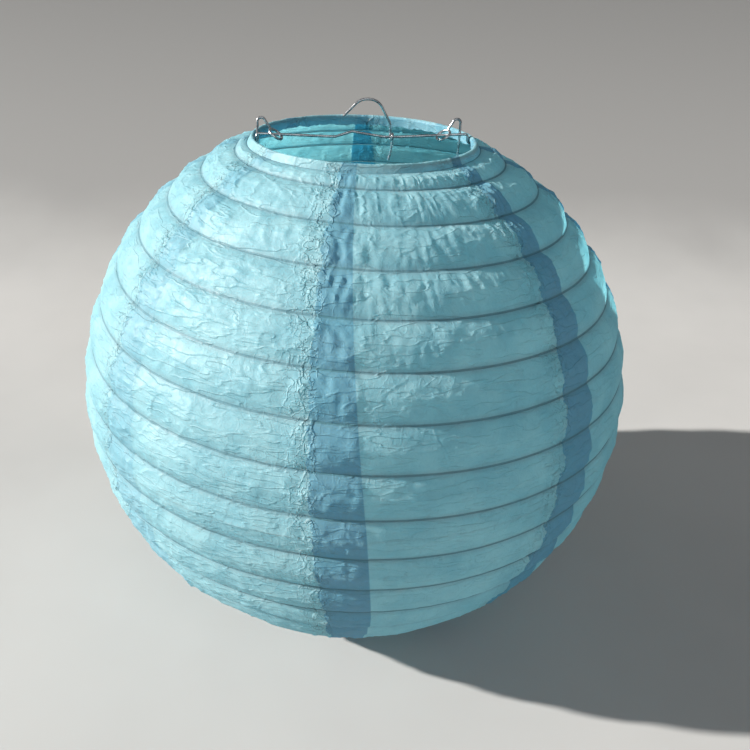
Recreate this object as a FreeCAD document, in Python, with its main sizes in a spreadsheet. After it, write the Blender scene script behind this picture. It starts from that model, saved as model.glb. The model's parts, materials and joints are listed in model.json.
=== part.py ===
"""Accordion paper lantern: a pleated paper globe on a spiral rib, two end rings and a wire expander.

The origin is the inside of the hanging hook's crown, where the lantern hangs. +Z is up, lengths are millimetres.
"""

import FreeCAD, Part
import math
import os

TURNS = 16
RIB_SPANS = 10
SECTION_ARCS = 8
SIDES = {"left_leg": -1, "right_leg": 1}

DRIVING_SIZES = {
    "globe_radius": 150.0,
    "globe_half_height": 145.8,
    "ring_radius": 56.6,
    "paper_wall": 0.5,
    "paper_gap": 0.3,
    "rib_wire": 0.9,
    "rib_clearance": 0.5,
    "rib_start_turn": 73.0,
    "ring_wire": 1.8,
    "hem_wall": 0.3,
    "hem_gap": 0.05,
    "hem_depth": 4.0,
    "hem_notch": 4.0,
    "frame_wire": 1.3,
    "frame_turn": 8.9,
    "hook_gap": 0.4,
    "hook_curl": 45.0,
    "bar_rise": 2.5,
    "bar_dip": 1.5,
    "bar_bend": 1.6,
    "kink_start": 14.8,
    "kink_top": 6.3,
    "kink_height": 2.6,
    "kink_end": 10.0,
    "coil_place": 14.4,
    "coil_room": 0.1,
    "coil_pitch": 1.4,
    "coil_flat_end": 17.5,
    "hanger_rise": 18.4,
    "hanger_shoulder": 6.0,
    "hanger_crown_right": 6.5,
    "hanger_crown_left": 2.5,
    "hanger_tip_reach": 10.7,
    "hanger_tip_height": 10.2,
    "hanger_bend": 8.0,
    "tail_length": 12.0,
    "tail_lean": 1.6,
    "left_leg_inset": 2.9,
    "right_leg_inset": 6.2,
    "leg_offset": 1.6,
    "leg_arch_corner": 13.0,
    "leg_arch_bend": 2.0,
    "leg_foot_bend": 2.0,
    "eye_inset": 9.0,
    "eye_radius": 3.6,
    "eye_tilt": 32.0,
    "eye_lean": 17.0,
}


def make_sheet(doc):
    """The driving dimensions, one named cell each."""
    sheet = doc.addObject("Spreadsheet::Sheet", "Sizes")
    for row, (name, value) in enumerate(DRIVING_SIZES.items(), start=1):
        sheet.set(f"A{row}", name)
        sheet.set(f"B{row}", str(value))
        sheet.setAlias(f"B{row}", name)
    doc.recompute()
    return sheet


# ---- expressions shared by several sub-parts, as text for setExpression ----

RING_LEVEL = "(Sizes.globe_half_height * sqrt(1 - (Sizes.ring_radius / Sizes.globe_radius) ^ 2))"
RING_PLANE = (
    "(-(Sizes.hanger_rise - Sizes.frame_wire / 2 + Sizes.bar_rise - Sizes.bar_dip))"
)
GLOBE_CENTRE = f"({RING_PLANE} - {RING_LEVEL})"
PAPER_END = f"asin(({RING_LEVEL} - Sizes.ring_wire / 2 - Sizes.paper_gap) / Sizes.globe_half_height)"
RING_LATITUDE = "acos(Sizes.ring_radius / Sizes.globe_radius)"
RIB_INSET = (
    "(Sizes.paper_wall + Sizes.rib_clearance + Sizes.rib_wire / 2"
    f" + Sizes.globe_radius * (1 - cos({RING_LATITUDE} / {TURNS})))"
)


def latitude(edge):
    """Latitude of the fold line between two pleats, counted down from the top ring."""
    if edge == 0:
        return f"({PAPER_END})"
    if edge == TURNS:
        return f"(-{PAPER_END})"
    return f"({RING_LATITUDE} * {1 - 2 * edge / TURNS})"


def edge_radius(edge, inset="0"):
    return f"((Sizes.globe_radius - {inset}) * cos({latitude(edge)}))"


def edge_height(edge, inset="0"):
    return f"((Sizes.globe_half_height - {inset}) * sin({latitude(edge)}))"


def bind(target, **expressions):
    """Binds properties to expressions; a double underscore stands for a dot."""
    for name, text in expressions.items():
        target.setExpression(name.replace("__", "."), text)
    return target


# ---- the paper globe ----

def make_pleat(doc, number):
    """One horizontal band of paper, a thin cone ring between two fold lines."""
    name = f"pleat_{number:02d}"
    low = edge_height(number)
    tall = f"({edge_height(number - 1)} - {low} - Sizes.paper_gap)"
    faces = []
    for face, wall in (("outer", "0"), ("inner", "Sizes.paper_wall")):
        cone = doc.addObject("Part::Cone", f"{name}_{face}")
        bind(
            cone,
            Radius1=f"{edge_radius(number)} - {wall}",
            Radius2=f"{edge_radius(number - 1)} - {wall}",
            Height=tall,
            Placement__Base__z=f"{GLOBE_CENTRE} + {low} + Sizes.paper_gap / 2",
        )
        faces.append(cone)
    pleat = doc.addObject("Part::Cut", name)
    pleat.Base, pleat.Tool = faces
    return pleat


def rib_point(sizes, number, share):
    """A point of the spiral's centre line, share of a turn up from the turn's lower end."""
    ring_latitude = math.acos(sizes.ring_radius / sizes.globe_radius)
    inset = sizes.paper_wall + sizes.rib_clearance + sizes.rib_wire / 2
    inset += sizes.globe_radius * (1 - math.cos(ring_latitude / TURNS))
    ring_level = sizes.globe_half_height * math.sin(ring_latitude)
    paper_end = math.asin(
        (ring_level - sizes.ring_wire / 2 - sizes.paper_gap) / sizes.globe_half_height
    )
    ends = {0: paper_end, TURNS: -paper_end}
    radii, heights = [], []
    for edge in (number, number - 1):
        angle = ends.get(edge, ring_latitude * (1 - 2 * edge / TURNS))
        radii.append((sizes.globe_radius - inset) * math.cos(angle))
        heights.append((sizes.globe_half_height - inset) * math.sin(angle))
    radius = radii[0] + (radii[1] - radii[0]) * share
    turn = -2 * math.pi * share
    rise = (heights[1] - heights[0]) * share
    return FreeCAD.Vector(radius * math.cos(turn), radius * math.sin(turn), rise)


def rib_path(sizes, number):
    """One left-handed turn of the spiral as tangent arcs, a paper gap short of a full turn."""
    full = rib_point(sizes, number, 0).Length
    end = 1 - sizes.paper_gap / (2 * math.pi * full)
    arcs = []
    for span in range(RIB_SPANS):
        places = [
            rib_point(sizes, number, end * (span + part / 2) / RIB_SPANS)
            for part in range(3)
        ]
        arcs.append(Part.Arc(*places).toShape())
    return Part.Wire(arcs)


def rib_section(sizes):
    """The rib wire's round section as arcs, across the start of its path."""
    places = []
    for half_step in range(2 * SECTION_ARCS):
        angle = half_step * math.pi / SECTION_ARCS
        place = FreeCAD.Vector(math.cos(angle), 0, math.sin(angle))
        places.append(place * (sizes.rib_wire / 2))
    places.append(places[0])
    arcs = [Part.Arc(*places[first : first + 3]).toShape() for first in range(0, 2 * SECTION_ARCS, 2)]
    return Part.Wire(arcs)


def make_rib_turn(doc, sizes, number):
    """One turn of the left-handed spiral rib, inside the paper it carries."""
    name = f"rib_turn_{number:02d}"
    path = doc.addObject("Part::Feature", f"{name}_path")
    path.Shape = rib_path(sizes, number)
    section = doc.addObject("Part::Feature", f"{name}_section")
    section.Shape = rib_section(sizes)
    bind(section, Placement__Base__x=edge_radius(number, RIB_INSET))
    turn = doc.addObject("Part::Sweep", name)
    turn.Sections = [section]
    turn.Spine = (path, [f"Edge{span}" for span in range(1, RIB_SPANS + 1)])
    turn.Solid = True
    bind(
        turn,
        Placement__Base__z=f"{GLOBE_CENTRE} + {edge_height(number, RIB_INSET)}",
        Placement__Rotation__Angle="Sizes.rib_start_turn",
    )
    return turn


def make_ring(doc, name, sign):
    """A closed wire ring at one end of the globe."""
    ring = doc.addObject("Part::Torus", name)
    return bind(
        ring,
        Radius1="Sizes.ring_radius",
        Radius2="Sizes.ring_wire / 2",
        Placement__Base__z=f"{GLOBE_CENTRE} + {sign} * {RING_LEVEL}",
    )


def make_hem(doc, name, sign):
    """The paper flap turned in over an end ring, notched where the wire frame hooks the ring."""
    outside = "Sizes.ring_radius - Sizes.ring_wire / 2 - Sizes.hem_gap"
    faces = []
    for face, wall in (("outer", "0"), ("inner", "Sizes.hem_wall")):
        tube = doc.addObject("Part::Cylinder", f"{name}_{face}")
        shift = "-Sizes.hem_depth" if sign > 0 else "0"
        bind(
            tube,
            Radius=f"{outside} - {wall}",
            Height="Sizes.hem_depth",
            Placement__Base__z=f"{GLOBE_CENTRE} + {sign} * {RING_LEVEL} + {shift}",
        )
        faces.append(tube)
    band = doc.addObject("Part::Cut", f"{name}_band")
    band.Base, band.Tool = faces
    slot = doc.addObject("Part::Box", f"{name}_notches")
    half_length = "Sizes.ring_radius"
    half_width = "Sizes.hem_notch / 2"
    bind(
        slot,
        Length=f"2 * {half_length}",
        Width="Sizes.hem_notch",
        Height="2 * Sizes.hem_depth",
        Placement__Base__x=f"-{half_length} * cos(Sizes.frame_turn) + {half_width} * sin(Sizes.frame_turn)",
        Placement__Base__y=f"-{half_length} * sin(Sizes.frame_turn) - {half_width} * cos(Sizes.frame_turn)",
        Placement__Base__z=f"{GLOBE_CENTRE} + {sign} * {RING_LEVEL} - Sizes.hem_depth",
        Placement__Rotation__Angle="Sizes.frame_turn",
    )
    hem = doc.addObject("Part::Cut", name)
    hem.Base = band
    hem.Tool = slot
    return hem


# ---- the wire frame, in its own plane: X along the crossbar, Z up, height 0 at the top ring ----

def rounded_path(points, bends):
    """Straight runs joined by tangent arcs; bends holds one radius for each inner point."""
    edges = []
    start = points[0]
    for before, corner, after, radius in zip(points, points[1:], points[2:], bends):
        back = (before - corner).normalize()
        ahead = (after - corner).normalize()
        half_angle = back.getAngle(ahead) / 2
        cut = radius / math.tan(half_angle)
        first = corner + back * cut
        last = corner + ahead * cut
        inward = (back + ahead).normalize()
        middle = corner + inward * (radius / math.sin(half_angle) - radius)
        edges.append(Part.LineSegment(start, first).toShape())
        edges.append(Part.Arc(first, middle, last).toShape())
        start = last
    edges.append(Part.LineSegment(start, points[-1]).toShape())
    return edges


def wire_solid(edges, diameter):
    """Round wire along a chain of edges."""
    path = Part.Wire(edges)
    first = path.OrderedEdges[0]
    begin = first.valueAt(first.FirstParameter)
    along = first.tangentAt(first.FirstParameter)
    section = Part.Wire([Part.makeCircle(diameter / 2, begin, along)])
    return path.makePipeShell([section], True, False)


def plane_point(across, height, aside=0.0):
    return FreeCAD.Vector(across, aside, height)


def hook_radius(sizes):
    """Radius of a frame hook's centre line round a paper-wrapped end ring."""
    wrapped_ring = sizes.ring_wire / 2 + sizes.hem_wall
    return wrapped_ring + sizes.hook_gap + sizes.frame_wire / 2


def under_ring_arc(sizes, side, height, start_angle, aside=0.0, from_tip=False):
    """The curl of a hook under an end ring, from start_angle to just past the lowest point."""
    reach = hook_radius(sizes)
    end_angle = 270 + sizes.hook_curl
    places = []
    for angle in (start_angle, (start_angle + end_angle) / 2, end_angle):
        turn = math.radians(angle)
        across = sizes.ring_radius + reach * math.cos(turn)
        places.append(plane_point(side * across, height + reach * math.sin(turn), aside))
    if from_tip:
        places.reverse()
    return Part.Arc(*places).toShape()


def crossbar_shape(sizes):
    """The bar over the top opening, with its centre kink and a hook under the ring at each end."""
    reach = hook_radius(sizes)
    end = sizes.ring_radius - reach
    low = sizes.bar_rise - sizes.bar_dip
    points = [
        plane_point(-end, 0),
        plane_point(-end, sizes.bar_rise),
        plane_point(-sizes.kink_start, low),
        plane_point(-sizes.kink_top, low + sizes.kink_height),
        plane_point(sizes.kink_end, low),
        plane_point(sizes.coil_flat_end, low),
        plane_point(end, sizes.bar_rise),
        plane_point(end, 0),
    ]
    run = rounded_path(points, [sizes.bar_bend] * (len(points) - 2))
    left = under_ring_arc(sizes, -1, 0, 180, from_tip=True)
    right = under_ring_arc(sizes, 1, 0, 180)
    return wire_solid([left] + run + [right], sizes.frame_wire)


def bar_height_at(sizes, across, side):
    """Height of the crossbar's sloping outer part, left or right of its middle."""
    start = sizes.kink_start if side < 0 else sizes.coil_flat_end
    end = sizes.ring_radius - hook_radius(sizes)
    share = (across - start) / (end - start)
    return sizes.bar_rise - sizes.bar_dip * (1 - share)


def leg_shape(sizes, side, globe_height):
    """A leg: an eye round the crossbar, an arch, the long straight wire and a hook under the bottom ring."""
    inset = sizes.left_leg_inset if side < 0 else sizes.right_leg_inset
    leg = sizes.ring_radius - inset
    across = leg - sizes.eye_inset
    eye_height = bar_height_at(sizes, across, side)
    centre = plane_point(side * across, eye_height)
    tilt = math.radians(sizes.eye_tilt)
    lean = math.radians(sizes.eye_lean)
    facing = FreeCAD.Vector(
        -side * math.sin(tilt),
        -math.cos(tilt) * math.sin(lean),
        math.cos(tilt) * math.cos(lean),
    )
    outward = FreeCAD.Vector(side * facing.z, 0, -side * facing.x).normalize()
    backward = facing.cross(outward) * side
    swing = math.asin(sizes.leg_offset / (sizes.eye_radius * backward.y))
    start = centre + (outward * math.cos(swing) + backward * math.sin(swing)) * sizes.eye_radius

    foot = -globe_height - hook_radius(sizes)
    aside = sizes.leg_offset
    points = [
        start,
        plane_point(side * leg, eye_height + sizes.leg_arch_corner, aside),
        plane_point(side * leg, foot, aside),
        plane_point(side * sizes.ring_radius, foot, aside),
    ]
    run = rounded_path(points, [sizes.leg_arch_bend, sizes.leg_foot_bend])
    curl = under_ring_arc(sizes, side, -globe_height, 270, aside)
    wire = wire_solid(run + [curl], sizes.frame_wire)
    eye = Part.makeTorus(sizes.eye_radius, sizes.frame_wire / 2, centre, facing)
    return wire.fuse(eye)


def hanger_shape(sizes):
    """The hanging hook: a coil round the crossbar, a crown over the globe's axis and a short tail."""
    reach = sizes.frame_wire + sizes.coil_room
    low = sizes.bar_rise - sizes.bar_dip
    rise_place = sizes.coil_place - sizes.coil_pitch / 2
    tail_place = sizes.coil_place + sizes.coil_pitch / 2
    helix = Part.makeHelix(sizes.coil_pitch, sizes.coil_pitch, reach, 0, True)
    helix.rotate(FreeCAD.Vector(), FreeCAD.Vector(0, 1, 0), 90)
    helix.rotate(FreeCAD.Vector(), FreeCAD.Vector(1, 0, 0), 90)
    helix.translate(plane_point(rise_place, low))
    coil = wire_solid(helix.Edges, sizes.frame_wire)

    top = low + sizes.hanger_rise
    hook_points = [
        plane_point(rise_place, low, reach),
        plane_point(rise_place, low + sizes.hanger_shoulder, reach),
        plane_point(sizes.hanger_crown_right, top),
        plane_point(-sizes.hanger_crown_left, top),
        plane_point(-sizes.hanger_tip_reach, low + sizes.hanger_tip_height),
    ]
    hook = wire_solid(rounded_path(hook_points, [sizes.hanger_bend] * 3), sizes.frame_wire)

    tail_end = low - sizes.tail_length
    tail_bow = Part.Arc(
        plane_point(tail_place - sizes.tail_lean, tail_end, reach),
        plane_point(tail_place - sizes.tail_lean / 4, (low + tail_end) / 2, reach),
        plane_point(tail_place, low, reach),
    )
    tail = wire_solid([tail_bow.toShape()], sizes.frame_wire)
    joints = [
        Part.makeSphere(sizes.frame_wire / 2, plane_point(place, low, reach))
        for place in (tail_place, rise_place)
    ]
    return coil.multiFuse([hook, tail] + joints).removeSplitter()


def add_frame_piece(doc, name, shape):
    """A bent-wire piece, turned and set down on the top ring's level."""
    piece = doc.addObject("Part::Feature", name)
    piece.Shape = shape
    return bind(
        piece,
        Placement__Base__z=RING_PLANE,
        Placement__Rotation__Angle="Sizes.frame_turn",
    )


def check_document(doc, pieces):
    """Stops on any failed object and on any sub-part that is empty or not valid."""
    for item in doc.Objects:
        if "Invalid" in item.State or "Error" in item.State:
            raise RuntimeError(f"{item.Name} failed: {item.State}")
    for piece in pieces:
        if piece.Shape.isNull() or not piece.Shape.isValid() or not piece.Shape.Solids:
            raise RuntimeError(f"{piece.Label} has no valid solid")


def main():
    doc = FreeCAD.newDocument("PaperLantern")
    sizes = make_sheet(doc)
    pieces = []
    for number in range(1, TURNS + 1):
        pieces.append(make_pleat(doc, number))
        pieces.append(make_rib_turn(doc, sizes, number))
    for name, sign in (("top", 1), ("bottom", -1)):
        pieces.append(make_ring(doc, f"{name}_ring", sign))
        pieces.append(make_hem(doc, f"{name}_hem", sign))
    doc.recompute()

    globe_height = 2 * sizes.globe_half_height
    globe_height *= math.sqrt(1 - (sizes.ring_radius / sizes.globe_radius) ** 2)
    pieces.append(add_frame_piece(doc, "crossbar", crossbar_shape(sizes)))
    pieces.append(add_frame_piece(doc, "hanger_hook", hanger_shape(sizes)))
    for name, side in SIDES.items():
        pieces.append(add_frame_piece(doc, name, leg_shape(sizes, side, globe_height)))
    doc.recompute()

    for piece in pieces:
        piece.Label = piece.Name
    check_document(doc, pieces)
    os.makedirs("parts", exist_ok=True)
    for piece in pieces:
        piece.Shape.exportStep(f"parts/{piece.Label}.step")
    print(f"{len(pieces)} sub-parts written")


main()
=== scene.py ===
"""Looks of the accordion paper lantern.

Crinkled paper bands, rolled hems, a spiral rib and steel wire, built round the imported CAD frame.
"""

import json
import math

import bpy
import numpy as np
from mathutils import Matrix, Vector

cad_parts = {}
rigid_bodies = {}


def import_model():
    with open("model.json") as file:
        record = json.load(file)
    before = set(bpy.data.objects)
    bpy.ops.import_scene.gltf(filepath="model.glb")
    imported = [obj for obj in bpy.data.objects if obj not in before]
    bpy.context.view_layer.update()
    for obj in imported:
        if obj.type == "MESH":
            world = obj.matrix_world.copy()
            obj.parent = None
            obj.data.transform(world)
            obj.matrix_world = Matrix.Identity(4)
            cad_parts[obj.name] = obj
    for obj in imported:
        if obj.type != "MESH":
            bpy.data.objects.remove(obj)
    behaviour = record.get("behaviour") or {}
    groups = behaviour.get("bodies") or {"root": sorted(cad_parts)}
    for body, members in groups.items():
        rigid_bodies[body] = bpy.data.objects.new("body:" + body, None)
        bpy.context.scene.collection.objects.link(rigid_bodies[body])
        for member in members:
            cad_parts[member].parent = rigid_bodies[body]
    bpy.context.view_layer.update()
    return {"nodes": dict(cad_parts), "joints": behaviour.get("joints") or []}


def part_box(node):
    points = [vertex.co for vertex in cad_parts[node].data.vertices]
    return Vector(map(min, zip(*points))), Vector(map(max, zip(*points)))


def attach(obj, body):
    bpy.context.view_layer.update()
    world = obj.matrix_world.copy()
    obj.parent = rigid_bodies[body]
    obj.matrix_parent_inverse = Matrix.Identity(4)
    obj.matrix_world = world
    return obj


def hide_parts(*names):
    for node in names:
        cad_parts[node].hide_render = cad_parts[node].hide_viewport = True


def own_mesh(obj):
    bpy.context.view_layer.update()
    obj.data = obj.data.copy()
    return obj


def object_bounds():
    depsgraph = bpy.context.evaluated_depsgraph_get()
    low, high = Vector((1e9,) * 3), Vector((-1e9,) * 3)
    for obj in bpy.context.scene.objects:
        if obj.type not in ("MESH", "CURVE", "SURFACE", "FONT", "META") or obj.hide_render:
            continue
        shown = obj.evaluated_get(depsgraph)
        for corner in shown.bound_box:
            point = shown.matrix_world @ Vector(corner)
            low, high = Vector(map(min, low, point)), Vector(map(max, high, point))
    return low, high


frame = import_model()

MM = 0.001

# ---- the globe, read from the frame ----

BANDS = len([name for name in frame["nodes"] if name.startswith("pleat_")])
PLEAT_GAP = 0.3 * MM


def node_box(name):
    low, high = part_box(name)
    return Vector(low), Vector(high)


def band_edges():
    """Height of each fold line between bands, from the top ring down."""
    heights = []
    for number in range(1, BANDS + 1):
        low, high = node_box(f"pleat_{number:02d}")
        if number == 1:
            heights.append(high.z + PLEAT_GAP / 2)
        heights.append(low.z - PLEAT_GAP / 2)
    return heights


EDGE_HEIGHTS = band_edges()
WIDEST = node_box(f"pleat_{BANDS // 2:02d}")
GLOBE_RADIUS = WIDEST[1].x
CENTRE = (EDGE_HEIGHTS[0] + EDGE_HEIGHTS[-1]) / 2
TOP_RING = node_box("top_ring")
RING_WIRE = TOP_RING[1].z - TOP_RING[0].z
RING_RADIUS = TOP_RING[1].x - RING_WIRE / 2
RING_HEIGHT = (TOP_RING[0].z + TOP_RING[1].z) / 2 - CENTRE
HALF_HEIGHT = RING_HEIGHT / math.sqrt(1 - (RING_RADIUS / GLOBE_RADIUS) ** 2)

# ---- seeded gradient noise on arrays of points ----

LATTICE_SIZE = 512
LATTICE_MASK = LATTICE_SIZE - 1
LATTICE_SEED = 20
LATTICE = np.random.default_rng(LATTICE_SEED).permutation(LATTICE_SIZE)
LIFT_STEP = 37
NOISE_GAIN = 1.6
RIDGE_STEEPNESS = 2.2
CUBE_CORNERS = 8


def lattice_gradient(cell, offset, seed):
    index = (cell + offset) & LATTICE_MASK
    place = LATTICE[(index[:, 0] + seed) & LATTICE_MASK]
    place = LATTICE[(place + index[:, 1]) & LATTICE_MASK]
    place = LATTICE[(place + index[:, 2]) & LATTICE_MASK]
    angle = place * (2 * math.pi / LATTICE_SIZE)
    lift = ((place * LIFT_STEP) % LATTICE_SIZE) / (LATTICE_SIZE / 2) - 1.0
    flat = np.sqrt(np.maximum(0.0, 1 - lift**2))
    return np.stack([flat * np.cos(angle), flat * np.sin(angle), lift], axis=1)


def noise(points, size, seed):
    """Gradient noise in about -1..1 with cells of the given size."""
    places = points / size
    cell = np.floor(places).astype(int)
    part = places - cell
    ease = part**3 * (part * (part * 6 - 15) + 10)
    total = np.zeros(len(points))
    for corner in range(CUBE_CORNERS):
        offset = np.array([corner & 1, (corner >> 1) & 1, corner >> 2])
        gradient = lattice_gradient(cell, offset, seed)
        weight = np.prod(np.where(offset == 1, ease, 1 - ease), axis=1)
        total += weight * np.sum(gradient * (part - offset), axis=1)
    return total * NOISE_GAIN


def ridges(points, size, seed, power=1.0):
    """Creases: 1 on the crease lines, falling to 0 between them."""
    return (1 - np.minimum(1.0, np.abs(noise(points, size, seed)) * RIDGE_STEEPNESS)) ** power


def smooth(value, low, high):
    """0 below low, 1 above high, with an eased step between them."""
    share = np.clip((value - low) / (high - low), 0, 1)
    return share * share * (3 - 2 * share)


def wrap(angle):
    return (angle + math.pi) % (2 * math.pi) - math.pi


# ---- the globe's plain shape and the glued overlaps between its paper panels ----

RIB_START = math.radians(73.0)
PANELS = 8
PANEL_STEP = 2 * math.pi / PANELS
FIRST_SEAM = math.radians(-1.5)
SEAM_WIDTH = math.radians(9.0)
SEAM_NARROWING = math.radians(2.2)
SEAM_LEAN = np.radians([-5.0, 5.5, 2.0, -3.0, 2.5, 3.5, -2.0, -3.5])
# Painted light: each overlap's strength, fainter on the lit left side than the others.
SEAM_FADE_IN_LIGHT = np.array([1.0, 1.0, 0.9, 0.9, 0.9, 0.8, 0.5, 0.4])
LOWEST_LEAN = -0.4
SMALLEST_CIRCLE = 0.05


def azimuth_of(turn):
    """Direction from the axis, from the front towards +X, at a share of a turn along the rib."""
    return wrap(turn * 2 * math.pi + RIB_START + math.pi / 2)


def globe_points(azimuth, rise):
    """Points on the plain globe; rise runs from -1 to 1 over its whole height."""
    radius = GLOBE_RADIUS * np.sqrt(np.maximum(0, 1 - rise**2))
    x, y = radius * np.sin(azimuth), -radius * np.cos(azimuth)
    return np.stack([x, y, CENTRE + HALF_HEIGHT * rise], axis=1)


def globe_normals(points):
    local = points - np.array([0, 0, CENTRE])
    local = local / np.array([GLOBE_RADIUS**2, GLOBE_RADIUS**2, HALF_HEIGHT**2])
    return local / np.linalg.norm(local, axis=1, keepdims=True)


def band_slopes():
    """Length of each band down the globe."""
    heights = np.array(EDGE_HEIGHTS)
    rise = (heights - CENTRE) / HALF_HEIGHT
    radii = GLOBE_RADIUS * np.sqrt(1 - rise**2)
    return np.hypot(np.diff(heights), np.diff(radii))


def nearest_seam(azimuth):
    """Number of the overlap that is nearest to a direction."""
    return np.round((azimuth - FIRST_SEAM) / PANEL_STEP).astype(int) % PANELS


def seam_distances(azimuth, rise):
    """Distances in metres inside the left and the right edge of the nearest overlap."""
    seam = nearest_seam(azimuth)
    lean = SEAM_LEAN[seam] * np.maximum(rise, LOWEST_LEAN)
    centre = FIRST_SEAM + seam * PANEL_STEP + lean
    half = (SEAM_WIDTH - SEAM_NARROWING * np.maximum(rise, 0)) / 2
    across = wrap(azimuth - centre)
    radius = GLOBE_RADIUS * np.sqrt(np.maximum(SMALLEST_CIRCLE, 1 - rise**2))
    return (across + half) * radius, (half - across) * radius


# ---- the crumpled paper ----

PAPER = 0.20 * MM
NOTCH = 1.3 * MM
BULGE = 2.0 * MM
BULGE_POWER = 1.9
FOLD_RIDGE = 0.35 * MM
FOLD_HALF_WIDTH = 0.09
SHORTEST_SPAN = 0.02
RING_HOLD = 0.35
RIB_HOLD = 0.22
HELD_WRINKLES = 0.25
FREE_WRINKLES = 0.75
SEAM_LAYER = 0.22 * MM
TORN_EDGE = 0.6 * MM
CUT_EDGE = 0.5 * MM

# Where the paper is crumpled most: beside the overlaps, high on the front and on the left.
LEFT_OF_SEAM = (-14 * MM, -1 * MM)
RIGHT_OF_SEAM = (-3 * MM, 1 * MM)
FRONT_AZIMUTH = 0.35
FRONT_SPREAD = (0.75, 1.0)
FRONT_RISE = (0.35, 0.7)
LEFT_SPREAD = (-0.1, 0.6)
PATCH_RANGE = (-0.3, 0.5)
CRUMPLE_EVERYWHERE = 0.55
CRUMPLE_IN_PATCHES = 0.75
CRUMPLE_BESIDE_SEAM = 0.9
CRUMPLE_ON_FRONT = 0.7
CRUMPLE_ON_LEFT = 0.25

# The cell size and the seed of each kind of wrinkle, and the sharpness of each kind of ridge.
PATCHES = (45 * MM, 7)
SWAY_ACROSS = (16 * MM, 3)
SWAY_DOWN = (16 * MM, 4)
SWAY = 4 * MM
DENTS = (32 * MM, 1)
BROAD_FOLDS = (17 * MM, 11, 3.0)
HOLLOWS = (10 * MM, 12, 3.0)
NARROW_FOLDS = (5.5 * MM, 13, 1.6)
PUCKERS = (5.5 * MM, 21, 1.5)
LONG_FOLDS = (5.0 * MM, 31, 3.0)
COARSE_TEAR = (5 * MM, 41)
FINE_TEAR = (2 * MM, 42)

DENT_HEIGHT = 0.55 * MM
BROAD_HEIGHT = 0.30 * MM
HOLLOW_DEPTH = 0.22 * MM
NARROW_HEIGHT = 0.16 * MM
PUCKER_CELLS = np.array([1.0, 0.28, 1.0])
PUCKER_HEIGHT = 0.08
PUCKERS_ON_FRONT = 0.42
PUCKERS_BESIDE_SEAM = 0.28
PUCKERS_AT_RIB = 0.4
PUCKERS_OFF_RIB = 0.6
LONG_CELLS = np.array([0.2, 1.0, 1.0])
LONG_HEIGHT = 0.16
LONG_ON_LEFT = 0.40
COARSE_TEAR_REACH = 1.6 * MM
FINE_TEAR_REACH = 0.7 * MM


def wrinkles(points, azimuth, rise, held):
    """Height of the crumpled paper over the smooth band; held is 0 at the rib and 1 off it."""
    left, right = seam_distances(azimuth, rise)
    beside_seam = smooth(left, *LEFT_OF_SEAM) * smooth(right, *RIGHT_OF_SEAM)
    polar = np.stack([azimuth * GLOBE_RADIUS, rise * HALF_HEIGHT, 0 * rise], axis=1)
    front = smooth(np.cos(azimuth - FRONT_AZIMUTH), *FRONT_SPREAD) * smooth(rise, *FRONT_RISE)
    left_side = smooth(-np.sin(azimuth), *LEFT_SPREAD)
    patches = smooth(noise(points, *PATCHES), *PATCH_RANGE)
    crumple = CRUMPLE_EVERYWHERE + CRUMPLE_IN_PATCHES * patches
    crumple += CRUMPLE_BESIDE_SEAM * beside_seam + CRUMPLE_ON_FRONT * front
    crumple += CRUMPLE_ON_LEFT * left_side
    sway = [noise(points, *SWAY_ACROSS), noise(points, *SWAY_DOWN), 0 * rise]
    sway = np.stack(sway, axis=1) * SWAY
    height = DENT_HEIGHT * noise(points, *DENTS)
    height += BROAD_HEIGHT * crumple * ridges(points + sway, *BROAD_FOLDS)
    height -= HOLLOW_DEPTH * crumple * ridges(points - sway, *HOLLOWS)
    height += NARROW_HEIGHT * crumple * ridges(points + sway, *NARROW_FOLDS)
    puckers = ridges((polar + sway) * PUCKER_CELLS, *PUCKERS)
    pucker_height = PUCKER_HEIGHT + PUCKERS_ON_FRONT * front + PUCKERS_BESIDE_SEAM * beside_seam
    height += MM * puckers * pucker_height * (PUCKERS_AT_RIB + PUCKERS_OFF_RIB * held)
    long_folds = ridges((polar + sway) * LONG_CELLS, *LONG_FOLDS)
    height += MM * long_folds * (LONG_HEIGHT + LONG_ON_LEFT * left_side)
    return height


def rib_phase(turn, depth):
    """Place between two rib lines, 0 to 1, and that gap as a share of a whole band.

    The first and last spans run from a ring to the rib, so they start or end at nothing.
    """
    phase = np.mod(depth - turn, 1.0)
    span = np.ones_like(depth)
    first = depth < turn
    span[first] = np.maximum(turn[first], SHORTEST_SPAN)
    phase[first] = depth[first] / span[first]
    last = depth > BANDS - 1 + turn
    span[last] = np.maximum(1 - turn[last], SHORTEST_SPAN)
    phase[last] = (depth[last] - (BANDS - 1) - turn[last]) / span[last]
    return phase, span


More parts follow.
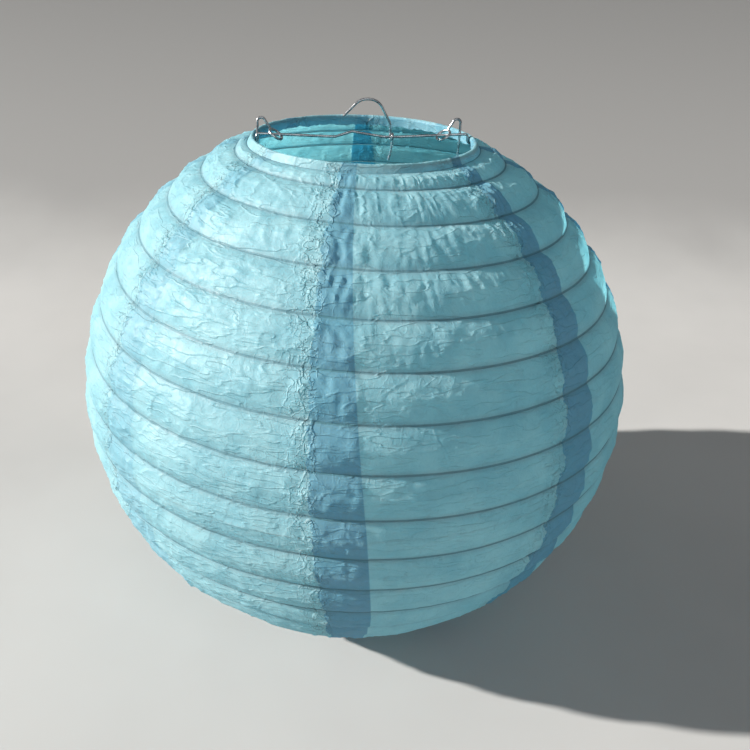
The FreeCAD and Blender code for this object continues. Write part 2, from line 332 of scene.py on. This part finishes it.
def paper_surface(turn, depth):
    """Points on the paper, their normals, the plain points, and the distances to rib and seams.

    turn is the share of a turn since the spiral rib left the top ring, and depth counts the
    bands down from that ring.
    """
    azimuth = azimuth_of(turn)
    height = np.interp(depth, np.arange(BANDS + 1), np.array(EDGE_HEIGHTS))
    rise = (height - CENTRE) / HALF_HEIGHT
    plain = globe_points(azimuth, rise)
    normals = globe_normals(plain)
    phase, span = rib_phase(turn, depth)
    rib_share = np.minimum(phase, 1 - phase) * span
    bulge = 1 - np.abs(2 * phase - 1) ** BULGE_POWER
    fold = np.maximum(0, 1 - np.abs(phase - 0.5) / FOLD_HALF_WIDTH)
    free = smooth(np.minimum(depth, BANDS - depth), 0.0, RING_HOLD)
    held = smooth(rib_share, 0.0, RIB_HOLD)
    offset = -NOTCH + BULGE * bulge * np.sqrt(span) + FOLD_RIDGE * fold * span
    crumpled = wrinkles(plain, azimuth, rise, held)
    offset += crumpled * (HELD_WRINKLES + FREE_WRINKLES * held) * free
    left, right = seam_distances(azimuth, rise)
    torn = COARSE_TEAR_REACH * noise(plain, *COARSE_TEAR)
    torn += FINE_TEAR_REACH * noise(plain, *FINE_TEAR)
    layer = smooth(left + torn, -TORN_EDGE, TORN_EDGE) * smooth(right, -CUT_EDGE, CUT_EDGE)
    offset += SEAM_LAYER * layer
    rib_gap = rib_share * np.interp(depth, np.arange(BANDS) + 0.5, band_slopes())
    return plain + normals * offset[:, None], normals, plain, rib_gap, left, right


# ---- meshes ----

COLUMNS = 640
ROWS_EACH_SIDE = 10
CREASE_ROW_LIMITS = (0.06, 0.94)
SEAM_REACH = 12.0
FAR_FROM_RIB = 12.0
FLAT_CREASES = 0.12
CREASES_BESIDE_SEAM = 0.88
CREASE_START = (-13 * MM, -2 * MM)
CREASE_END = (-4 * MM, -1 * MM)
PAPER_SHARP_ANGLE = math.radians(38)

RIB_RADIUS = 0.45 * MM
RIB_STEPS = 160
RIB_SIDES = 8
RIB_ENDS = (0.002, 0.998)
RIB_SHARP_ANGLE = math.radians(60)


def add_piece(name, data):
    piece = bpy.data.objects.new(name, data)
    bpy.context.collection.objects.link(piece)
    return piece


def add_attribute(mesh, name, values):
    """Values for the skin, repeated on the lining, which has no painted rib lines of its own."""
    lining = np.full_like(values, FAR_FROM_RIB) if name == "rib_gap" else values
    both = np.concatenate([values, lining])
    is_vector = both.ndim == 2
    layer = mesh.attributes.new(name, "FLOAT_VECTOR" if is_vector else "FLOAT", "POINT")
    layer.data.foreach_set("vector" if is_vector else "value", both.astype(np.float32).ravel())


def ring_sheet(name, outer, inner, attributes):
    """A closed thin sheet round the axis from two grids of points, rows by columns."""
    rows, columns = outer.shape[:2]
    count = rows * columns
    index = np.arange(count).reshape(rows, columns)
    beside = np.roll(index, -1, axis=1)
    skin = np.stack([index[:-1], index[1:], beside[1:], beside[:-1]], axis=-1).reshape(-1, 4)
    lining = skin[:, ::-1] + count
    top = np.stack([index[0], beside[0], beside[0] + count, index[0] + count], axis=-1)
    bottom = np.stack([index[-1], index[-1] + count, beside[-1] + count, beside[-1]], axis=-1)
    faces = np.concatenate([skin, lining, top, bottom])
    points = np.concatenate([outer.reshape(-1, 3), inner.reshape(-1, 3)])
    mesh = bpy.data.meshes.new(name)
    mesh.vertices.add(len(points))
    mesh.vertices.foreach_set("co", points.astype(np.float32).ravel())
    mesh.loops.add(faces.size)
    mesh.loops.foreach_set("vertex_index", faces.astype(np.int32).ravel())
    mesh.polygons.add(len(faces))
    mesh.polygons.foreach_set("loop_start", (np.arange(len(faces)) * 4).astype(np.int32))
    mesh.update(calc_edges=True)
    for key, values in attributes.items():
        add_attribute(mesh, key, values)
    mesh.shade_smooth()
    mesh.set_sharp_from_angle(angle=PAPER_SHARP_ANGLE)
    return add_piece(name, mesh)


def surface_attributes(plain, rib_gap, left, right, folded=None):
    """What the paper material reads at each point; distances are in millimetres."""
    azimuth = np.arctan2(plain[:, 0], -plain[:, 1])
    creased = smooth(left, *CREASE_START) * smooth(-left, *CREASE_END)
    return {
        # painted light: how faintly each overlap is drawn, fainter on the lit left side
        "seam_fade_in_light": SEAM_FADE_IN_LIGHT[nearest_seam(azimuth)],
        "folded": np.zeros(len(plain)) if folded is None else folded,
        "rest_point": plain,
        "rib_gap": rib_gap / MM,
        "seam_inside": np.clip(np.minimum(left, right) / MM, -SEAM_REACH, SEAM_REACH),
        "seam_ragged": (left < right).astype(float),
        "crumple": FLAT_CREASES + CREASES_BESIDE_SEAM * creased,
    }


def crease_row(turn):
    """Share of a band's height at its creased row, which returns to the top near a full turn."""
    low, high = CREASE_ROW_LIMITS
    if turn > high:
        return high + (low - high) * (turn - high) / (1 - high)
    return max(low, turn)


def band_rows(turn):
    crease = crease_row(turn)
    above = np.linspace(0, crease, ROWS_EACH_SIDE + 1)
    below = np.linspace(crease, 1, ROWS_EACH_SIDE + 1)[1:]
    return np.concatenate([above, below])


def make_band(number):
    """One band of the paper globe, closed and thin; the rib's crease runs down through it."""
    turns = np.arange(COLUMNS) / COLUMNS
    depth = np.stack([band_rows(turn) for turn in turns], axis=1) + number - 1
    turn = np.broadcast_to(turns, depth.shape).ravel().copy()
    outer, normals, plain, gap, left, right = paper_surface(turn, depth.ravel())
    inner = outer - normals * PAPER
    return ring_sheet(
        f"paper_band_{number:02d}",
        outer.reshape(*depth.shape, 3),
        inner.reshape(*depth.shape, 3),
        surface_attributes(plain, gap, left, right),
    )


def make_rib(number):
    """One turn of the spiral steel rib, a closed tube inside the paper's crease."""
    turn = np.linspace(*RIB_ENDS, RIB_STEPS)
    crease, normals, _, _, _, _ = paper_surface(turn, turn + number - 1)
    centres = crease - normals * (PAPER + RIB_RADIUS)
    along = np.gradient(centres, axis=0)
    along /= np.linalg.norm(along, axis=1, keepdims=True)
    across = np.cross(along, normals)
    rows = []
    for side in range(RIB_SIDES):
        angle = side / RIB_SIDES * 2 * math.pi
        rows.append(centres + RIB_RADIUS * (normals * math.cos(angle) + across * math.sin(angle)))
    points = np.stack(rows, axis=1).reshape(-1, 3)
    index = np.arange(len(points)).reshape(RIB_STEPS, RIB_SIDES)
    beside = np.roll(index, -1, axis=1)
    sides = np.stack([index[:-1], beside[:-1], beside[1:], index[1:]], axis=-1).reshape(-1, 4)
    faces = sides.tolist() + [index[0, ::-1].tolist(), index[-1].tolist()]
    mesh = bpy.data.meshes.new(f"rib_wire_{number:02d}")
    mesh.from_pydata(points.tolist(), [], faces)
    mesh.shade_smooth()
    mesh.set_sharp_from_angle(angle=RIB_SHARP_ANGLE)
    return add_piece(f"rib_wire_{number:02d}", mesh)


# ---- the hems rolled over the end rings ----

ROLL = RING_WIRE / 2 + 0.35 * MM
ROLL_ANGLES = np.radians(np.linspace(62, 180, 9))
HEM_DEPTH = 4.0 * MM
HEM_SHARES = np.linspace(0, 1, 7)[1:]
SINGLE_ROWS = 6
HOOK_CUT = 0.8
FRAME_TURN = math.radians(8.9)
HOOK_HALF_WIDTH = math.radians(3.0)
HOOK_CORE = 0.6

# The cell size and the seed of each unevenness of the hem.
HEM_WOBBLE = (9 * MM, 51)
HEM_CREASES = (3 * MM, 52)
HEM_COARSE_TEAR = (7 * MM, 53)
HEM_FINE_TEAR = (2.5 * MM, 54)
HEM_SWAY = (6 * MM, 55)
WOBBLE_HEIGHT = 0.18 * MM
CREASE_HEIGHT = 0.1 * MM
COARSE_TEAR_SHARE = 0.22
FINE_TEAR_SHARE = 0.16
SWAY_REACH = 0.25 * MM
LEAN_OUT = 0.3 * MM


def near_frame_hooks(azimuth):
    """1 where the wire frame hooks an end ring, 0 elsewhere."""
    bar = FRAME_TURN + math.pi / 2
    away = np.abs(np.mod(azimuth - bar + math.pi / 2, math.pi) - math.pi / 2)
    return 1 - smooth(away, HOOK_HALF_WIDTH * HOOK_CORE, HOOK_HALF_WIDTH)


def make_hem(name, sign):
    """The paper rolled over an end ring.

    It runs from the globe's edge over the wire and down inside to a ragged edge.
    sign is 1 at the top and -1 at the bottom.
    """
    turns = np.arange(COLUMNS) / COLUMNS
    edge_depth = np.full(COLUMNS, 0.0 if sign > 0 else float(BANDS))
    edge, edge_normals, plain, _, left, right = paper_surface(turns.copy(), edge_depth)
    azimuth = azimuth_of(turns)
    out = np.stack([np.sin(azimuth), -np.cos(azimuth), 0 * azimuth], axis=1)
    up = np.array([0, 0, 1.0]) * sign
    ring_centre = out * RING_RADIUS + np.array([0, 0, CENTRE + sign * RING_HEIGHT])
    wobble = WOBBLE_HEIGHT * noise(plain, *HEM_WOBBLE)
    wobble += CREASE_HEIGHT * ridges(plain, *HEM_CREASES)
    outer = [edge]
    inner = [edge - edge_normals * PAPER]
    for angle in ROLL_ANGLES:
        across = out * math.cos(angle) + up * math.sin(angle)
        outer.append(ring_centre + across * (ROLL + wobble)[:, None])
        inner.append(ring_centre + across * (ROLL + wobble - PAPER)[:, None])
    ragged = 1 + COARSE_TEAR_SHARE * noise(plain, *HEM_COARSE_TEAR)
    ragged += FINE_TEAR_SHARE * noise(plain, *HEM_FINE_TEAR)
    depth = HEM_DEPTH * ragged * (1 - HOOK_CUT * near_frame_hooks(azimuth))
    for share in HEM_SHARES:
        drop = -up * (depth * share)[:, None]
        sway = SWAY_REACH * noise(plain, *HEM_SWAY) * share - LEAN_OUT * share
        outer.append(ring_centre - out * (ROLL + wobble + sway)[:, None] + drop)
        inner.append(ring_centre - out * (ROLL + wobble + sway - PAPER)[:, None] + drop)
    doubled = [0.0] * SINGLE_ROWS + [1.0] * (len(outer) - SINGLE_ROWS)
    if sign > 0:
        outer.reverse()
        inner.reverse()
        doubled.reverse()
    outer = np.stack(outer)
    count = outer.shape[0]
    attributes = surface_attributes(
        outer.reshape(-1, 3),
        np.full(count * COLUMNS, FAR_FROM_RIB * MM),
        np.tile(left, count),
        np.tile(right, count),
        np.repeat(doubled, COLUMNS),
    )
    return ring_sheet(name, outer, np.stack(inner), attributes)


# ---- materials ----

SKIN_LIGHT = (0.53, 0.71, 0.74)
SKIN_DEEP = (0.39, 0.61, 0.66)
SKIN_SEAM = (0.05, 0.50, 0.63)
# Rib line on the skin: partly the glue along the rib, partly the rib's painted shadow.
SKIN_RIB_GLUE_AND_SHADOW = (0.12, 0.40, 0.50)
GLOW_LIGHT = (0.57, 0.90, 0.94)
GLOW_DEEP = (0.45, 0.81, 0.87)
GLOW_SEAM = (0.02, 0.40, 0.60)
# Rib line in the light through the paper: partly glue, partly the rib's painted shadow.
GLOW_RIB_GLUE_AND_SHADOW = (0.02, 0.12, 0.18)
GLOW_SHARE = 0.62
# The rib steel's blue tint is a painted reflection of the paper round it; its light and dark spots
# are the steel's own.
RIB_STEEL_WITH_PAPER_REFLECTION = ((0.60, 0.72, 0.75), (0.42, 0.55, 0.58))
RIB_ROUGHNESS = (0.35, 0.6)
DRAWN_STEEL = ((0.62, 0.63, 0.64), (0.30, 0.31, 0.33))
DRAWN_ROUGHNESS = (0.18, 0.42)
FLOOR_COLOUR = (0.45, 0.445, 0.435)
# The wall's darker colour is painted shade.
WALL_PAINTED_SHADE = (0.26, 0.257, 0.252)
BACKDROP_ROUGHNESS = 0.85

# Scale, detail and roughness of each cloud pattern.
FIBRES = (900, 3, 0.7)
CLOUDS = (55, 4, 0.55)
BLOTCHES = (240, 3, 0.6)
SMALL_DENTS = (420, 5, 0.65)
CREASE_PATHS = (2.0, 0.45)
DRAWING_MARKS = (1400, 3, 0.6)
DULL_SPOTS = (160, 4, 0.6)
FLOOR_CLOUDS = (6, 3, 0.5)

# Where each pattern turns from none to full, and how strongly it shows.
FIBRE_TONE = 0.35
TONE_RANGE = (0.45, 0.9)
FRAY_REACH = 7.0
SEAM_EDGE = (-0.3, 0.3)
GLUE_CLOUDS = (0.3, 0.7)
GLUE_STRENGTH = (0.78, 1.0)
FOLDED_LAYERS = 0.6
# The rib line is partly glue and partly painted rib shadow; the soft band beside it is painted
# shade.
LINE_RANGE = (0.30, 0.85)
RIB_SHADE_RANGE = (0.6, 3.0)
RIB_SHADE_STRENGTH = 0.22
LAYERS_ON_SKIN = 0.45
LINE_ON_SKIN = 0.45
LAYERS_IN_GLOW = 0.9
LINE_IN_GLOW = 0.8
PAPER_BLOTCHES = (0.2, 0.8)
PAPER_ROUGHNESS = (0.40, 0.60)
PAPER_SHINE = 0.5
SPOT_RANGE = (0.35, 0.7)
MARK_RANGE = (0.3, 0.75)
FLOOR_CLOUD_REACH = 0.06
WALL_STARTS = (0.005, 0.12)

# Height in metres and strength of each relief.
FIBRE_RELIEF = (0.00005, 0.6)
DENT_RELIEF = (0.00022, 0.7)
MARK_RELIEF = (0.00003, 0.5)
CREASE_STRENGTH = 0.9

# Crease patterns: scale, stretch, height in metres, and strength, or none where the
# crumple attribute sets it.
CREASES = (
    (50, (1.0, 1.0, 4.5), 0.00042, 0.55),
    (40, (1.0, 1.0, 1.0), 0.00036, 0.45),
    (150, (1.0, 1.0, 0.8), 0.00050, None),
    (300, (1.0, 1.0, 1.0), 0.00032, None),
)
CREASE_HALF_WIDTH = 0.045


class Nodes:
    """Short helpers to build a node tree."""

    def __init__(self, name):
        self.material = bpy.data.materials.new(name)
        self.material.use_nodes = True
        self.tree = self.material.node_tree
        self.tree.nodes.clear()

    def add(self, kind, **settings):
        node = self.tree.nodes.new(kind)
        for key, value in settings.items():
            setattr(node, key, value)
        return node

    def link(self, source, target):
        self.tree.links.new(source, target)

    def feed(self, socket, value):
        """Give a socket a number, a colour or another node's output."""
        if isinstance(value, tuple):
            socket.default_value = (*value, 1.0)
        elif isinstance(value, (int, float)):
            socket.default_value = value
        else:
            self.link(value, socket)

    def math(self, operation, first, second=None):
        node = self.add("ShaderNodeMath", operation=operation)
        self.feed(node.inputs[0], first)
        if second is not None:
            self.feed(node.inputs[1], second)
        return node.outputs[0]

    def scaled(self, value, factor):
        return self.math("MULTIPLY", value, factor)

    def attribute(self, name, output="Fac"):
        return self.add("ShaderNodeAttribute", attribute_name=name).outputs[output]

    def object_point(self):
        return self.add("ShaderNodeTexCoord").outputs["Object"]

    def noise(self, vector, scale, detail, roughness):
        node = self.add("ShaderNodeTexNoise")
        node.inputs["Scale"].default_value = scale
        node.inputs["Detail"].default_value = detail
        node.inputs["Roughness"].default_value = roughness
        self.link(vector, node.inputs["Vector"])
        return node.outputs["Fac"]

    def stretched(self, vector, factors):
        node = self.add("ShaderNodeVectorMath", operation="MULTIPLY")
        self.link(vector, node.inputs[0])
        node.inputs[1].default_value = factors
        return node.outputs[0]

    def creases(self, vector, scale):
        """1 on thin crease lines, 0 between them."""
        cloud = self.noise(vector, scale, *CREASE_PATHS)
        middle = self.math("ABSOLUTE", self.math("SUBTRACT", cloud, 0.5))
        return self.ramp(middle, 0.0, CREASE_HALF_WIDTH, 1.0, 0.0)

    def ramp(self, value, low, high, start=0.0, end=1.0):
        node = self.add("ShaderNodeMapRange", clamp=True)
        node.interpolation_type = "SMOOTHSTEP"
        self.link(value, node.inputs["Value"])
        node.inputs["From Min"].default_value = low
        node.inputs["From Max"].default_value = high
        node.inputs["To Min"].default_value = start
        node.inputs["To Max"].default_value = end
        return node.outputs["Result"]

    def mix(self, share, first, second):
        node = self.add("ShaderNodeMix", data_type="RGBA")
        self.feed(node.inputs[0], share)
        self.feed(node.inputs[6], first)
        self.feed(node.inputs[7], second)
        return node.outputs[2]

    def bump(self, height, distance, strength, normal=None):
        node = self.add("ShaderNodeBump")
        node.inputs["Distance"].default_value = distance
        node.inputs["Strength"].default_value = strength
        self.link(height, node.inputs["Height"])
        if normal is not None:
            self.link(normal, node.inputs["Normal"])
        return node.outputs["Normal"]

    def skin(self, colour, roughness, normal=None):
        """A principled surface."""
        surface = self.add("ShaderNodeBsdfPrincipled")
        self.feed(surface.inputs["Base Color"], colour)
        self.feed(surface.inputs["Roughness"], roughness)
        if normal is not None:
            self.link(normal, surface.inputs["Normal"])
        return surface

    def finish(self, shader):
        output = self.add("ShaderNodeOutputMaterial")
        self.link(shader.outputs[0], output.inputs["Surface"])
        return self.material


def overlap_mask(nodes, clouds, blotches):
    """1 in the glued overlaps, with a frayed left edge and a cut right edge; the overlaps on the
    lit left side are weakened as painted light.
    """
    fray = nodes.scaled(nodes.math("SUBTRACT", blotches, 0.5), FRAY_REACH)
    fray = nodes.scaled(fray, nodes.attribute("seam_ragged"))
    seam = nodes.ramp(nodes.math("ADD", nodes.attribute("seam_inside"), fray), *SEAM_EDGE)
    seam = nodes.scaled(seam, nodes.ramp(clouds, *GLUE_CLOUDS, *GLUE_STRENGTH))
    # painted light: the overlaps on the lit left side are weakened
    return nodes.scaled(seam, nodes.attribute("seam_fade_in_light"))


def crinkled_normal(nodes, point, fibres):
    """Fibres and small dents, with sharp crease lines over them."""
    dents = nodes.noise(point, *SMALL_DENTS)
    normal = nodes.bump(fibres, *FIBRE_RELIEF)
    normal = nodes.bump(dents, *DENT_RELIEF, normal)
    crumple = nodes.attribute("crumple")
    for scale, stretch, distance, share in CREASES:
        creases = nodes.creases(nodes.stretched(point, stretch), scale)
        height = nodes.scaled(creases, share if share else crumple)
        normal = nodes.bump(height, distance, CREASE_STRENGTH, normal)
    return normal


def paper_material(name):
    """Thin crinkled tissue paper that glows through; glued overlaps block it, and at the rib a
    line that is partly glue and partly painted rib shadow, with painted shade beside it, darkens
    it.
    """
    nodes = Nodes(name)
    point = nodes.attribute("rest_point", "Vector")
    fibres = nodes.noise(point, *FIBRES)
    clouds = nodes.noise(point, *CLOUDS)
    blotches = nodes.noise(point, *BLOTCHES)
    tone = nodes.math("ADD", clouds, nodes.scaled(fibres, FIBRE_TONE))
    tone = nodes.ramp(tone, *TONE_RANGE)
    seam = overlap_mask(nodes, clouds, blotches)
    folded = nodes.scaled(nodes.attribute("folded"), FOLDED_LAYERS)
    layers = nodes.math("MAXIMUM", seam, folded)
    # painted rib shadow: a thin line, partly glue, and painted shade for a few millimetres beside
    # it
    line = nodes.ramp(nodes.attribute("rib_gap"), *LINE_RANGE, 1.0, 0.0)
    rib_shade = nodes.ramp(nodes.attribute("rib_gap"), *RIB_SHADE_RANGE, RIB_SHADE_STRENGTH, 0.0)
    colour = nodes.mix(tone, SKIN_DEEP, SKIN_LIGHT)
    colour = nodes.mix(nodes.scaled(layers, LAYERS_ON_SKIN), colour, SKIN_SEAM)
    colour = nodes.mix(nodes.scaled(line, LINE_ON_SKIN), colour, SKIN_RIB_GLUE_AND_SHADOW)
    shade = nodes.math("MAXIMUM", nodes.scaled(line, LINE_IN_GLOW), rib_shade)
    glow = nodes.mix(tone, GLOW_DEEP, GLOW_LIGHT)
    glow = nodes.mix(nodes.scaled(layers, LAYERS_IN_GLOW), glow, GLOW_SEAM)
    glow = nodes.mix(shade, glow, GLOW_RIB_GLUE_AND_SHADOW)
    roughness = nodes.ramp(blotches, *PAPER_BLOTCHES, *PAPER_ROUGHNESS)
    normal = crinkled_normal(nodes, point, fibres)
    surface = nodes.skin(colour, roughness, normal)
    surface.inputs["Specular IOR Level"].default_value = PAPER_SHINE
    through = nodes.add("ShaderNodeBsdfTranslucent")
    nodes.link(glow, through.inputs["Color"])
    nodes.link(normal, through.inputs["Normal"])
    blend = nodes.add("ShaderNodeMixShader")
    blend.inputs[0].default_value = GLOW_SHARE
    nodes.link(surface.outputs[0], blend.inputs[1])
    nodes.link(through.outputs[0], blend.inputs[2])
    return nodes.finish(blend)


def wire_material(name, colours, roughness):
    """Bright drawn steel wire with faint drawing marks and dull spots."""
    nodes = Nodes(name)
    light, dark = colours
    point = nodes.object_point()
    marks = nodes.noise(point, *DRAWING_MARKS)
    spots = nodes.noise(point, *DULL_SPOTS)
    colour = nodes.mix(nodes.ramp(spots, *SPOT_RANGE), dark, light)
    worn = nodes.ramp(marks, *MARK_RANGE, *roughness)
    normal = nodes.bump(marks, *MARK_RELIEF)
    surface = nodes.skin(colour, worn, normal)
    surface.inputs["Metallic"].default_value = 1.0
    return nodes.finish(surface)


def backdrop_material(name):
    """Matt paper, paler on the floor than up the wall, where it is darkened as painted shade."""
    nodes = Nodes(name)
    point = nodes.object_point()
    parts = nodes.add("ShaderNodeSeparateXYZ")
    nodes.link(point, parts.inputs[0])
    cloud = nodes.scaled(nodes.noise(point, *FLOOR_CLOUDS), FLOOR_CLOUD_REACH)
    rise = nodes.math("ADD", parts.outputs["Z"], cloud)
    share = nodes.ramp(rise, FLOOR + WALL_STARTS[0], FLOOR + WALL_STARTS[1])
    # painted shade: the paper darkens from the floor up the wall
    colour = nodes.mix(share, FLOOR_COLOUR, WALL_PAINTED_SHADE)
    return nodes.finish(nodes.skin(colour, BACKDROP_ROUGHNESS))


def set_material(piece, material):
    if not piece.material_slots:
        piece.data.materials.append(material)
    for place in piece.material_slots:
        place.material = material


# ---- the object ----

PLAIN_WIRES = ("top_ring", "bottom_ring", "crossbar", "left_leg", "right_leg", "hanger_hook")
HEMS = (("top_hem", 1, "top_frame"), ("bottom_hem", -1, "bottom_frame"))


def joint_named(name):
    return next(joint for joint in frame["joints"] if joint["name"] == name)


def fold_down(piece, number):
    """The piece of this band closes up with its fold joint, towards the band's upper edge."""
    joint = joint_named(f"collapse_{number:02d}")
    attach(piece, joint["parent"])
    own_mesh(piece)


def dress_paper():
    paper = paper_material("tissue_paper")
    hem_paper = paper_material("hem_paper")
    rib = wire_material("rib_steel", RIB_STEEL_WITH_PAPER_REFLECTION, RIB_ROUGHNESS)
    for number in range(1, BANDS + 1):
        band = make_band(number)
        set_material(band, paper)
        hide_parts(f"pleat_{number:02d}")
        fold_down(band, number)
        wire = make_rib(number)
        set_material(wire, rib)
        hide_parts(f"rib_turn_{number:02d}")
        fold_down(wire, number)
    for name, sign, body in HEMS:
        hem = make_hem(f"rolled_{name}", sign)
        set_material(hem, hem_paper)
        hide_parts(name)
        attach(hem, body)


def dress_wires():
    bright = wire_material("drawn_steel", DRAWN_STEEL, DRAWN_ROUGHNESS)
    for name in PLAIN_WIRES:
        set_material(frame["nodes"][name], bright)


# ---- floor, light and camera ----

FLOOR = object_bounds()[0][2] - 0.5 * MM
FLOOR_FRONT = 2.5
FLOOR_BACK = 0.32
FLOOR_HALF_WIDTH = 3.0
WALL_BEND = 0.5
WALL_BEND_STEPS = 16
WALL_HEIGHT = 2.5

KEY_PLACE = (-2.35, -0.15, CENTRE + 1.10)
KEY_POWER = 8.8
KEY_COLOUR = (1.0, 0.97, 0.93)
KEY_ANGLE = math.radians(1.5)
FILL_PLACE = (0.3, -1.6, CENTRE + 1.3)
FILL_POWER = 8
FILL_COLOUR = (0.93, 0.97, 1.0)
FILL_SIZE = 1.6
ROOM_COLOUR = (0.80, 0.84, 0.88, 1)
ROOM_STRENGTH = 0.27

CAMERA_DISTANCE = 0.464
CAMERA_RISE = math.radians(28.72)
CAMERA_ROLL = math.radians(2.18)
CAMERA_NEAR = 0.01
LENS = 37.6
SENSOR = 36
SHIFT = (0.0267, -0.0053)


def make_floor():
    """A pale floor that curves up into a pale wall behind."""
    outline = [(-FLOOR_FRONT, 0.0), (FLOOR_BACK, 0.0)]
    for step in range(1, WALL_BEND_STEPS + 1):
        angle = step / WALL_BEND_STEPS * math.pi / 2
        back = FLOOR_BACK + WALL_BEND * math.sin(angle)
        outline.append((back, WALL_BEND * (1 - math.cos(angle))))
    outline.append((FLOOR_BACK + WALL_BEND, WALL_HEIGHT))
    points = [(side * FLOOR_HALF_WIDTH, y, FLOOR + z) for y, z in outline for side in (-1, 1)]
    faces = [(2 * i, 2 * i + 1, 2 * i + 3, 2 * i + 2) for i in range(len(outline) - 1)]
    mesh = bpy.data.meshes.new("backdrop")
    mesh.from_pydata(points, [], faces)
    mesh.shade_smooth()
    floor = add_piece("backdrop", mesh)
    set_material(floor, backdrop_material("pale_floor"))


def add_light(kind, name, place, power, colour):
    """A light aimed at the globe's centre."""
    lamp = bpy.data.lights.new(name, kind)
    lamp.energy = power
    lamp.color = colour
    holder = add_piece(name, lamp)
    holder.location = place
    aim = Vector((0, 0, CENTRE)) - Vector(place)
    holder.rotation_euler = aim.to_track_quat("-Z", "Y").to_euler()
    return lamp


def make_lights():
    sun = add_light("SUN", "key", KEY_PLACE, KEY_POWER, KEY_COLOUR)
    sun.angle = KEY_ANGLE
    fill = add_light("AREA", "fill", FILL_PLACE, FILL_POWER, FILL_COLOUR)
    fill.shape = "DISK"
    fill.size = FILL_SIZE
    world = bpy.data.worlds.new("studio")
    bpy.context.scene.world = world
    world.use_nodes = True
    background = world.node_tree.nodes["Background"]
    background.inputs["Color"].default_value = ROOM_COLOUR
    background.inputs["Strength"].default_value = ROOM_STRENGTH
    bpy.context.scene.view_settings.view_transform = "Standard"


def make_camera():
    back = Vector((0, -math.cos(CAMERA_RISE), math.sin(CAMERA_RISE)))
    side = Vector((1, 0, 0))
    up = back.cross(side)
    right = side * math.cos(CAMERA_ROLL) + up * math.sin(CAMERA_ROLL)
    top = up * math.cos(CAMERA_ROLL) - side * math.sin(CAMERA_ROLL)
    data = bpy.data.cameras.new("camera")
    data.lens = LENS
    data.sensor_width = SENSOR
    data.shift_x, data.shift_y = SHIFT
    data.clip_start = CAMERA_NEAR
    camera = add_piece("camera", data)
    turn = Matrix((right, top, back)).transposed().to_4x4()
    place = Vector((0, 0, CENTRE)) + back * CAMERA_DISTANCE
    camera.matrix_world = Matrix.Translation(place) @ turn
    bpy.context.scene.camera = camera


make_camera()
dress_paper()
dress_wires()
make_floor()
make_lights()
